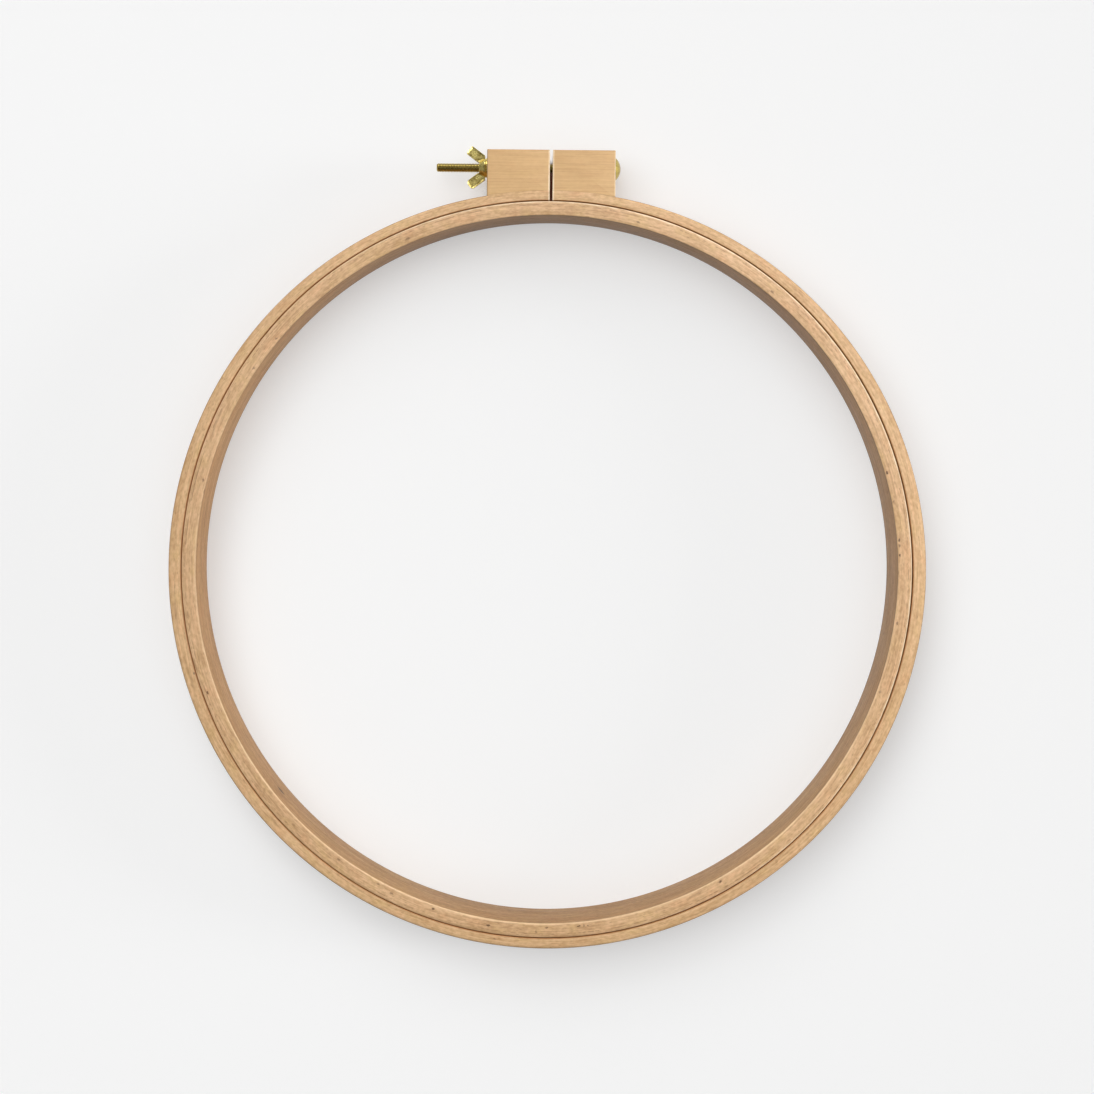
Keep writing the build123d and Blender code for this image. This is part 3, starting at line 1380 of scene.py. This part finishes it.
@dataclass
class WingNut(Piece):
    """The brass wing nut: a tapered hub and two wings that lean away from the lug.

    It is put together from solids that cross, made one by a fine voxel remesh, and
    smoothed as a casting is. Height and span are to the wings' corners before that.
    """

    axis_y: float
    seat_x: float
    height: float
    span: float
    bore_radius: float
    bore_chamfer: float = 0.3
    hub_base: float = 4.2
    hub_top: float = 3.0
    hub_height: float = 3.2
    hub_rim: float = 0.7
    hub_steps: int = 48
    base_edge: float = 0.15
    top_edge: tuple[float, float] = (0.2, 0.25)
    root_depth: float = 0.45
    root_thickness: float = 2.5
    wing_width: float = 4.4
    tip_thickness: float = 1.6
    lean_degrees: float = 37.0
    foot_lift: float = 0.45
    upper_tip_round: float = 0.6
    lower_tip_round: float = 1.5
    tip_steps: int = 5
    rim_width: float = 0.75
    hollow: float = 0.28
    voxel: float = 0.1
    smoothing: int = 4
    sharp_degrees: float = 60.0

    def hub(self, bm: BMesh) -> None:
        """Adds the hub with its bore.

        Args:
            bm: The bmesh that gets it.
        """
        mouth = self.bore_radius + self.bore_chamfer
        profile = [
            (0.0, mouth), (0.0, self.hub_base - self.base_edge), (self.base_edge, self.hub_base),
            (self.hub_rim, self.hub_base), (self.hub_height - self.top_edge[0], self.hub_top),
            (self.hub_height, self.hub_top - self.top_edge[1]), (self.hub_height, mouth),
            (self.hub_height - self.bore_chamfer, self.bore_radius), (self.bore_chamfer, self.bore_radius),
        ]
        spun(bm, [(self.seat_x - along, radius) for along, radius in profile], self.axis_y, self.hub_steps)

    def wing(self, bm: BMesh, side: int) -> None:
        """Adds one wing, which thins towards its tip and is hollowed on both faces.

        Args:
            bm: The bmesh that gets the wing.
            side: 1 for the wing away from the hoop, -1 for the other.
        """
        lean = math.radians(self.lean_degrees)
        tip_outer = Vector((self.height - self.wing_width * math.sin(lean), self.span / 2))
        tip_inner = Vector((self.height, self.span / 2 - self.wing_width * math.cos(lean)))
        root = self.bore_radius + self.root_depth
        foot = tip_outer.y - (tip_outer.x - self.foot_lift) * math.tan(lean)
        top = tip_inner.x - (tip_inner.y - root) / math.tan(lean)
        corners = ((self.foot_lift, root), (self.foot_lift, foot), tip_outer, tip_inner, (top, root))
        before = set(bm.faces)
        face = outline_face(bm, [(self.seat_x - x, self.axis_y + side * y, 0.0) for x, y in corners])
        tip_round = self.upper_tip_round if side > 0 else self.lower_tip_round
        rounded(bm, [face.verts[2], face.verts[3]], tip_round, self.tip_steps, "VERTICES")
        lower = next(face for face in bm.faces if face not in before)
        raised = bmesh.ops.extrude_face_region(bm, geom=[lower])["geom"]
        upper = next(item for item in raised if isinstance(item, bmesh.types.BMFace))
        fresh = [face for face in bm.faces if face not in before and face is not upper]
        flat = [face for face in fresh if len(face.verts) == len(upper.verts)]
        for faces, sign in (([upper], 1), (flat, -1)):
            for vert in {vert for face in faces for vert in face.verts}:
                reach = (abs(vert.co.y - self.axis_y) - root) / (self.span / 2 - root)
                thickness = self.root_thickness + (self.tip_thickness - self.root_thickness) * smooth(reach)
                vert.co.z = sign * thickness / 2
            bmesh.ops.inset_region(bm, faces=faces, thickness=self.rim_width, depth=0.0, use_even_offset=True)
            for vert in {vert for face in faces for vert in face.verts}:
                vert.co.z -= sign * self.hollow

    def shape(self) -> Solid:
        """Makes the bare nut. The remesh works on it a thousand times enlarged.

        Returns:
            The piece.
        """
        bm = bmesh.new()
        self.hub(bm)
        for side in (-1, 1):
            self.wing(bm, side)
        bmesh.ops.scale(bm, vec=(1 / MM, 1 / MM, 1 / MM), verts=bm.verts)
        piece = as_object(bm, self.name)
        modifier = piece.modifiers.new("cast", "REMESH")
        modifier.mode = "VOXEL"
        modifier.voxel_size = self.voxel
        settle(piece)
        bm = bmesh.new()
        bm.from_mesh(piece.data)
        axes = dict.fromkeys(("use_axis_x", "use_axis_y", "use_axis_z"), True)
        for _ in range(self.smoothing):
            bmesh.ops.smooth_vert(bm, verts=bm.verts, factor=0.5, **axes)
        bmesh.ops.scale(bm, vec=(MM, MM, MM), verts=bm.verts)
        bm.to_mesh(piece.data)
        bm.free()
        shade(piece.data, self.sharp_degrees)
        return piece


@dataclass
class Hoop:
    """The whole hoop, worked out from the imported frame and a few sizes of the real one.

    The nut's excess is what its corners lose when they are rounded.
    """

    effects: Effects
    cloth_gap: float = 0.3
    inner_wall: float = 6.4
    kerf: float = 1.3
    blend_share: float = 0.4
    glue_line: float = 0.02
    inner_offset: tuple[float, float] = (-0.22, 0.16)
    thread_radius: float = 2.0
    left_hole_play: float = 0.75
    right_hole_play: float = 0.25
    seat_side: float = 4.5
    washer_play: float = 0.15
    nut_play: float = 0.05
    nut_excess: tuple[float, float] = (0.4, -0.1)

    def settle_on(self, piece: Solid, node: str, body: Body) -> None:
        """Puts a piece on its body, hides the node that it stands for and reports it."""
        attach(piece, body.value)
        self.note(piece, node)

    def note(self, piece: Solid, node: str) -> None:
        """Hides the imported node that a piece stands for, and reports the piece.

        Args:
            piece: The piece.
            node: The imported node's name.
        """
        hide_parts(node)
        log.info("%s: %d faces", piece.name, len(piece.data.polygons))

    def rings(self) -> None:
        """Builds the two rings."""
        outer_radius, half_height = span("outer_ring")[1].xz
        inner_radius = span("inner_ring")[1].x
        outer_wall = outer_radius - inner_radius - self.cloth_gap
        outer = RingStrip(
            "split_ring", self.outer_finish(outer_radius, outer_wall), outer_radius, outer_wall, half_height,
            outer_round=1.1, inner_round=0.35, kerf=self.kerf, outer_share=0.0, snug=0.2,
            offset=self.inner_offset, slack=((45, 0.12), (-40, 0.12), (232, 0.06)),
            flush_half_width=span("right_lug")[1].x,
        ).build(self.effects)
        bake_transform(outer)
        self.note(outer, "outer_ring")
        inner = RingStrip(
            "closed_ring", self.inner_finish(inner_radius), inner_radius, self.inner_wall, half_height,
            outer_round=1.6, inner_round=0.6, outer_drop=0.28, offset=self.inner_offset,
        ).build(self.effects)
        self.settle_on(inner, "inner_ring", Body.INNER_HOOP)

    def outer_finish(self, radius: float, wall: float) -> BeechFinish:
        """The outer ring's wood, with two flecks and a painted highlight along its sawn edges at the kerf.

        Args:
            radius: The ring's outer radius.
            wall: The ring's wall.

        Returns:
            The finish.
        """
        return BeechFinish(
            "outer ring beech", pale=(0.74, 0.485, 0.265), dark=(0.48, 0.278, 0.122), seed=1.3,
            half_wall=wall / 2, middle_radius=radius - wall / 2, cut_edge=self.kerf / 2,
            marks=(Mark(196.9, -2.1), Mark(262.5, -0.6, length=2.2, width=0.5, depth=0.5)),
        )

    def inner_finish(self, radius: float) -> BeechFinish:
        """The inner ring's wood, with its flecks and a small knot on its inner wall.

        Args:
            radius: The ring's outer radius.

        Returns:
            The finish.
        """
        faint = 0.55
        marks = (
            Mark(16.5, -2.2), Mark(11.7, -2.4, depth=faint), Mark(5.4, -2.2), Mark(4.5, -2.2, depth=0.6),
            Mark(2.9, -2.3), Mark(51.6, -1.2, depth=faint), Mark(75.9, -1.0, depth=faint),
            Mark(113.4, -1.0, length=2.6, width=1.1, depth=faint), Mark(140.1, -1.9, depth=0.6),
            Mark(146.1, -1.7, depth=faint), Mark(166.0, -1.7, depth=0.65), Mark(200.4, 1.0),
            Mark(234.8, -1.5, depth=faint), Mark(242.3, -1.7, depth=0.5), Mark(244.9, -0.7, depth=faint),
            Mark(252.0, -1.4, length=1.6), Mark(261.1, -0.2),
            Mark(268.8, 0.4, length=0.8, width=1.5, depth=0.5), Mark(270.5, -1.4, depth=0.7),
            Mark(275.6, -1.4), Mark(276.4, -1.4, length=0.9, depth=0.6),
            Mark(277.1, -1.4, length=0.9, depth=0.6), Mark(299.6, -1.6, length=1.6),
            Mark(340.4, -1.7, depth=0.5), Mark(351.9, -1.9, length=1.6, depth=0.6),
            Mark(220.5, -3.1, up=0.5, length=5.0, width=2.6, depth=0.85),
        )
        return BeechFinish(
            "inner ring beech", pale=(0.735, 0.48, 0.27), dark=(0.46, 0.266, 0.122), seed=6.1, specks=0.05,
            half_wall=self.inner_wall / 2, middle_radius=radius - self.inner_wall / 2, scarf_degrees=212.0,
            # Its outer edge line is a painted highlight, and its outer side gets painted shade beside the
            # seam.
            outer_edge=(1.0, 0.86, 0.62), outer_edge_share=0.95, outer_edge_angle=30.0,
            contact_side="Outer side", contact_reach=0.4, crease=1.55, marks=marks,
        )

    def bolt_axis(self) -> float:
        """How far the bolt's axis lies from the hoop's, along Y."""
        low, high = span("clamp_bolt")
        return (low.y + high.y) / 2

    def lugs(self) -> None:
        """Builds the two clamp blocks."""
        saddle_radius = span("outer_ring")[1].x + self.glue_line
        for side, node, body, play, seat_side, tone in (
            (Side.LEFT, "left_lug", Body.LEFT_END, self.left_hole_play, 0.0, SHADE_TONE),
            (Side.RIGHT, "right_lug", Body.OUTER_HOOP, self.right_hole_play, self.seat_side, END_HIGHLIGHT_TONE),
        ):
            low, high = span(node)
            end_face = max(abs(low.x), abs(high.x))
            finish = BeechFinish(
                node + " beech", seed=4.0 + side.value, streaks=0.5, rays=0.06, specks=0.0, figure=0.25,
                strip=False, cut_edge=self.kerf / 2, end_edge=end_face, end_tone=tone, top_edge=high.y,
            )
            lug = Lug(
                node + "_block", finish, side, self.kerf / 2, end_face, high.y, high.z, saddle_radius,
                self.bolt_axis(), self.thread_radius + play, seat_side,
            )
            self.settle_on(lug.build(self.effects), node, body)

    def hardware(self) -> None:
        """Builds the bolt, the washer and the wing nut."""
        axis_y, seat_x = self.bolt_axis(), span("right_lug")[1].x
        low, high = span("clamp_bolt")
        bolt_finish = BrassFinish(
            "bolt brass", bright=(0.58, 0.455, 0.135), axis_y=axis_y, groove_top=self.thread_radius,
            seat_x=seat_x,
        )
        bolt = ClampBolt(
            "domed_bolt", bolt_finish, axis_y, seat_x, low.x, high.x, (high.y - low.y) / 2, self.thread_radius
        )
        low, high = span("washer")
        washer = Washer(
            "nut_washer", BrassFinish("washer brass", seed=3.0), axis_y, high.x, high.x - low.x,
            (high.y - low.y) / 2, self.thread_radius + self.washer_play,
        )
        low, high = span("wing_nut")
        nut = WingNut(
            "cast_wing_nut", BrassFinish("nut brass", bright=(0.97, 0.80, 0.28), toned=0.95, seed=7.0), axis_y,
            high.x, high.x - low.x + self.nut_excess[0], high.y - low.y + self.nut_excess[1],
            self.thread_radius + self.nut_play,
        )
        for piece, node, body in (
            (bolt, "clamp_bolt", Body.OUTER_HOOP),
            (washer, "washer", Body.NUT_SEAT),
            (nut, "wing_nut", Body.WING_NUT),
        ):
            self.settle_on(piece.build(self.effects), node, body)


@dataclass(frozen=True)
class Studio:
    """The floor, the light and the camera.

    Levels are irradiances on a level surface, as shares of what makes it render as its
    colour is written. Azimuths are in degrees from +X towards +Y, zenith angles from +Z.
    The camera's sizes are in pixels of the photograph: its principal point, the focal
    length and the ring's centre.
    """

    floor_z: float
    front_z: float
    floor_gap: float = 0.02
    floor_size: float = 8000.0
    floor_colour: Triple = (0.60, 0.60, 0.60)
    floor_dim: Triple = (0.40, 0.39, 0.38)
    floor_glow: float = 0.478
    nook: float = 28.0
    nook_samples: int = 16
    nook_shade: float = 0.12
    nook_openness: tuple[float, float] = (0.4, 1.0)
    slit_openness: tuple[float, float] = (0.09, 0.20)
    slit_colour: Triple = (0.06, 0.02, 0.012)
    slit_glow: Triple = (0.048, 0.012, 0.005)
    image_size: int = 1094
    principal: tuple[float, float] = (543.0, 467.0)
    focal_pixels: float = 1551.0
    ring_centre: tuple[float, float] = (547.3, 569.75)
    sensor_width: float = 36.0
    height_over_front: float = 695.0
    roll_degrees: float = 0.58
    key_level: float = 0.355
    key_place: Triple = (-395.0, 410.0, 1076.0)
    key_width: float = 1150.0
    softbox_level: float = 0.425
    softbox_place: Triple = (335.0, 262.0, 690.0)
    softbox_side: float = 500.0
    fill_level: float = 0.06
    fill_azimuth: float = 2.0
    fill_zenith: float = 80.0
    fill_width: float = 14.0
    sky_level: float = 0.29
    sky_dim: float = 0.12
    sky_azimuth: float = 125.0
    sky_ends: tuple[float, float] = (-0.7, 0.4)
    backdrop: float = 0.9
    window_glow: float = 3.2
    window_azimuth: float = 106.0
    window_zenith: float = 58.0
    window_radius: float = 15.0
    window_softness: float = 0.35

    def floor(self) -> Solid:
        """Lays the pale floor just under the hoop.

        Most of what the camera sees of it is its own glow, so that it stays pale beside the
        hoop, but not in a slit, where little light comes in: there it is painted dark reddish
        brown with a faint glow of that colour, as painted shade. Near the hoop its glow is
        dimmed a little, as painted shade.

        Returns:
            The floor.
        """
        bm = bmesh.new()
        bmesh.ops.create_grid(bm, x_segments=1, y_segments=1, size=self.floor_size / 2)
        bmesh.ops.translate(bm, vec=(0, 0, self.floor_z - self.floor_gap), verts=bm.verts)
        floor = as_object(bm, "floor")
        material, w, output = bare_material("pale floor")
        path = w.add("LightPath").outputs
        seen = w.maths("MAXIMUM", path["Is Camera Ray"], path["Is Glossy Ray"])
        seen = w.maths("MAXIMUM", seen, path["Is Transmission Ray"])
        nook = {"Distance": self.nook * MM}
        openness = w.add("AmbientOcclusion", named=nook, samples=self.nook_samples).outputs["AO"]
        open_share = w.ramp(openness, *self.slit_openness)
        strength = w.times(seen, w.ramp(openness, *self.nook_openness, 1.0 - self.nook_shade, 1.0))
        # In a slit the floor is painted dark reddish brown and glows faintly in that colour: painted shade.
        glow = w.blend(open_share, self.slit_glow, 3 * (self.floor_glow,))
        colour = w.blend(open_share, self.slit_colour, w.blend(seen, self.floor_dim, self.floor_colour))
        lit = w.add("BsdfDiffuse", colour).outputs[0]
        glowing = w.add("Emission", glow, strength).outputs[0]
        w.give(output.inputs["Surface"], w.add("AddShader", lit, glowing).outputs[0])
        floor.data.materials.append(material)
        return floor

    def stood(self, data: bpy.types.ID, place: Matrix) -> Solid:
        """Puts a lamp or camera in the scene.

        Args:
            data: The lamp or camera.
            place: Where it stands and how it is turned.

        Returns:
            Its object.
        """
        stand = bpy.data.objects.new(data.name, data)
        stand.matrix_world = place
        bpy.context.scene.collection.objects.link(stand)
        return stand

    def panel(self, name: str, shape: str, size: float, place: Triple, level: float, fall: int) -> Solid:
        """Adds a flat lamp that faces the hoop's middle.

        Args:
            name: The lamp's name.
            shape: DISK or SQUARE.
            size: How wide it is.
            place: Where it stands.
            level: Its level.
            fall: 3 for a lamp that fades with distance, 1 for one that stays as strong.

        Returns:
            The lamp.
        """
        spot = Vector(place) * MM
        lamp = bpy.data.lights.new(name, "AREA")
        lamp.shape = shape
        lamp.size = size * MM
        lamp.energy = level * math.pi**2 * spot.length**fall / spot.z
        return self.stood(lamp, Matrix.Translation(spot) @ spot.to_track_quat("Z", "Y").to_matrix().to_4x4())

    def key(self) -> None:
        """Adds the main lamp, near the clamp's left, which is as strong near as far."""
        stand = self.panel("key", "DISK", self.key_width, self.key_place, self.key_level, fall=1)
        stand.visible_glossy = False
        stand.data.use_nodes = True
        w = Wiring(stand.data.node_tree)
        steady = w.add("LightFalloff", 1.0).outputs["Constant"]
        w.give(w.tree.nodes["Emission"].inputs["Strength"], steady)

    def softbox(self, floor: Solid) -> None:
        """Adds the large lamp over the hoop's right.

        Args:
            floor: The floor, which doesn't take its light.
        """
        level, side = self.softbox_level, self.softbox_side
        stand = self.panel("softbox", "SQUARE", side, self.softbox_place, level, fall=3)
        lit = bpy.data.collections.new("softbox takes")
        lit.objects.link(floor)
        lit.collection_objects[0].light_linking.link_state = "EXCLUDE"
        stand.light_linking.receiver_collection = lit

    def fill(self) -> None:
        """Adds a weak distant lamp, low at the right."""
        zenith = math.radians(self.fill_zenith)
        lamp = bpy.data.lights.new("fill", "SUN")
        lamp.energy = self.fill_level * math.pi / math.cos(zenith)
        lamp.angle = math.radians(self.fill_width)
        turn = Matrix.Rotation(math.radians(self.fill_azimuth), 4, "Z") @ Matrix.Rotation(zenith, 4, "Y")
        self.stood(lamp, turn)

    def sky(self) -> None:
        """Sets a sky that dims away from the clamp's left, with one brighter window over the clamp."""
        world = bpy.data.worlds.new("studio")
        bpy.context.scene.world = world
        world.use_nodes = True
        w = Wiring(world.node_tree)
        direction = w.add("TexCoord").outputs["Generated"]
        bright = math.radians(self.sky_azimuth)
        side = w.vector("DOT_PRODUCT", direction, (math.cos(bright), math.sin(bright), 0), output="Value")
        azimuth, zenith = math.radians(self.window_azimuth), math.radians(self.window_zenith)
        aside = math.sin(zenith)
        middle = (aside * math.cos(azimuth), aside * math.sin(azimuth), math.cos(zenith))
        nearness = w.vector("DOT_PRODUCT", direction, middle, output="Value")
        edge, full = (
            math.cos(math.radians(self.window_radius * (1 + way * self.window_softness))) for way in (1, -1)
        )
        sky = w.ramp(side, *self.sky_ends, self.sky_dim, self.sky_level)
        glow = w.maths("ADD", sky, w.ramp(nearness, edge, full, 0.0, self.window_glow))
        seen = w.add("LightPath").outputs["Is Camera Ray"]
        strength = w.add("MapRange", seen, 0.0, 1.0, glow, self.backdrop).outputs[0]
        background = w.tree.nodes["Background"]
        w.give(background.inputs["Strength"], strength)
        background.inputs["Color"].default_value = opaque(WHITE)

    def light(self, floor: Solid) -> None:
        """Sets the sky and the lamps.

        Args:
            floor: The floor, which takes the key's shadow.
        """
        self.sky()
        self.key()
        self.fill()
        self.softbox(floor)

    def camera(self) -> None:
        """Places the camera where the photograph was taken from."""
        data = bpy.data.cameras.new("camera")
        data.sensor_width = self.sensor_width
        data.lens = self.focal_pixels * self.sensor_width / self.image_size
        middle = self.image_size / 2
        data.shift_x = -(self.principal[0] - middle) / self.image_size
        data.shift_y = (self.principal[1] - middle) / self.image_size
        per_pixel = self.height_over_front / self.focal_pixels
        aside = Vector((
            (self.principal[0] - self.ring_centre[0]) * per_pixel,
            (self.ring_centre[1] - self.principal[1]) * per_pixel,
            self.front_z + self.height_over_front,
        ))
        roll = Matrix.Rotation(math.radians(self.roll_degrees), 4, "Z")
        bpy.context.scene.camera = self.stood(data, Matrix.Translation(roll @ (aside * MM)) @ roll)


def main() -> None:
    """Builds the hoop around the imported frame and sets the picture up."""
    logging.basicConfig(level=logging.INFO, format="%(message)s")
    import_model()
    hoop = Hoop(Effects.made())
    hoop.rings()
    hoop.lugs()
    hoop.hardware()
    low, high = span("outer_ring")
    studio = Studio(floor_z=low.z, front_z=high.z)
    studio.light(studio.floor())
    studio.camera()
    bpy.context.scene.view_settings.view_transform = "Standard"


if __name__ == "__main__":
    main()
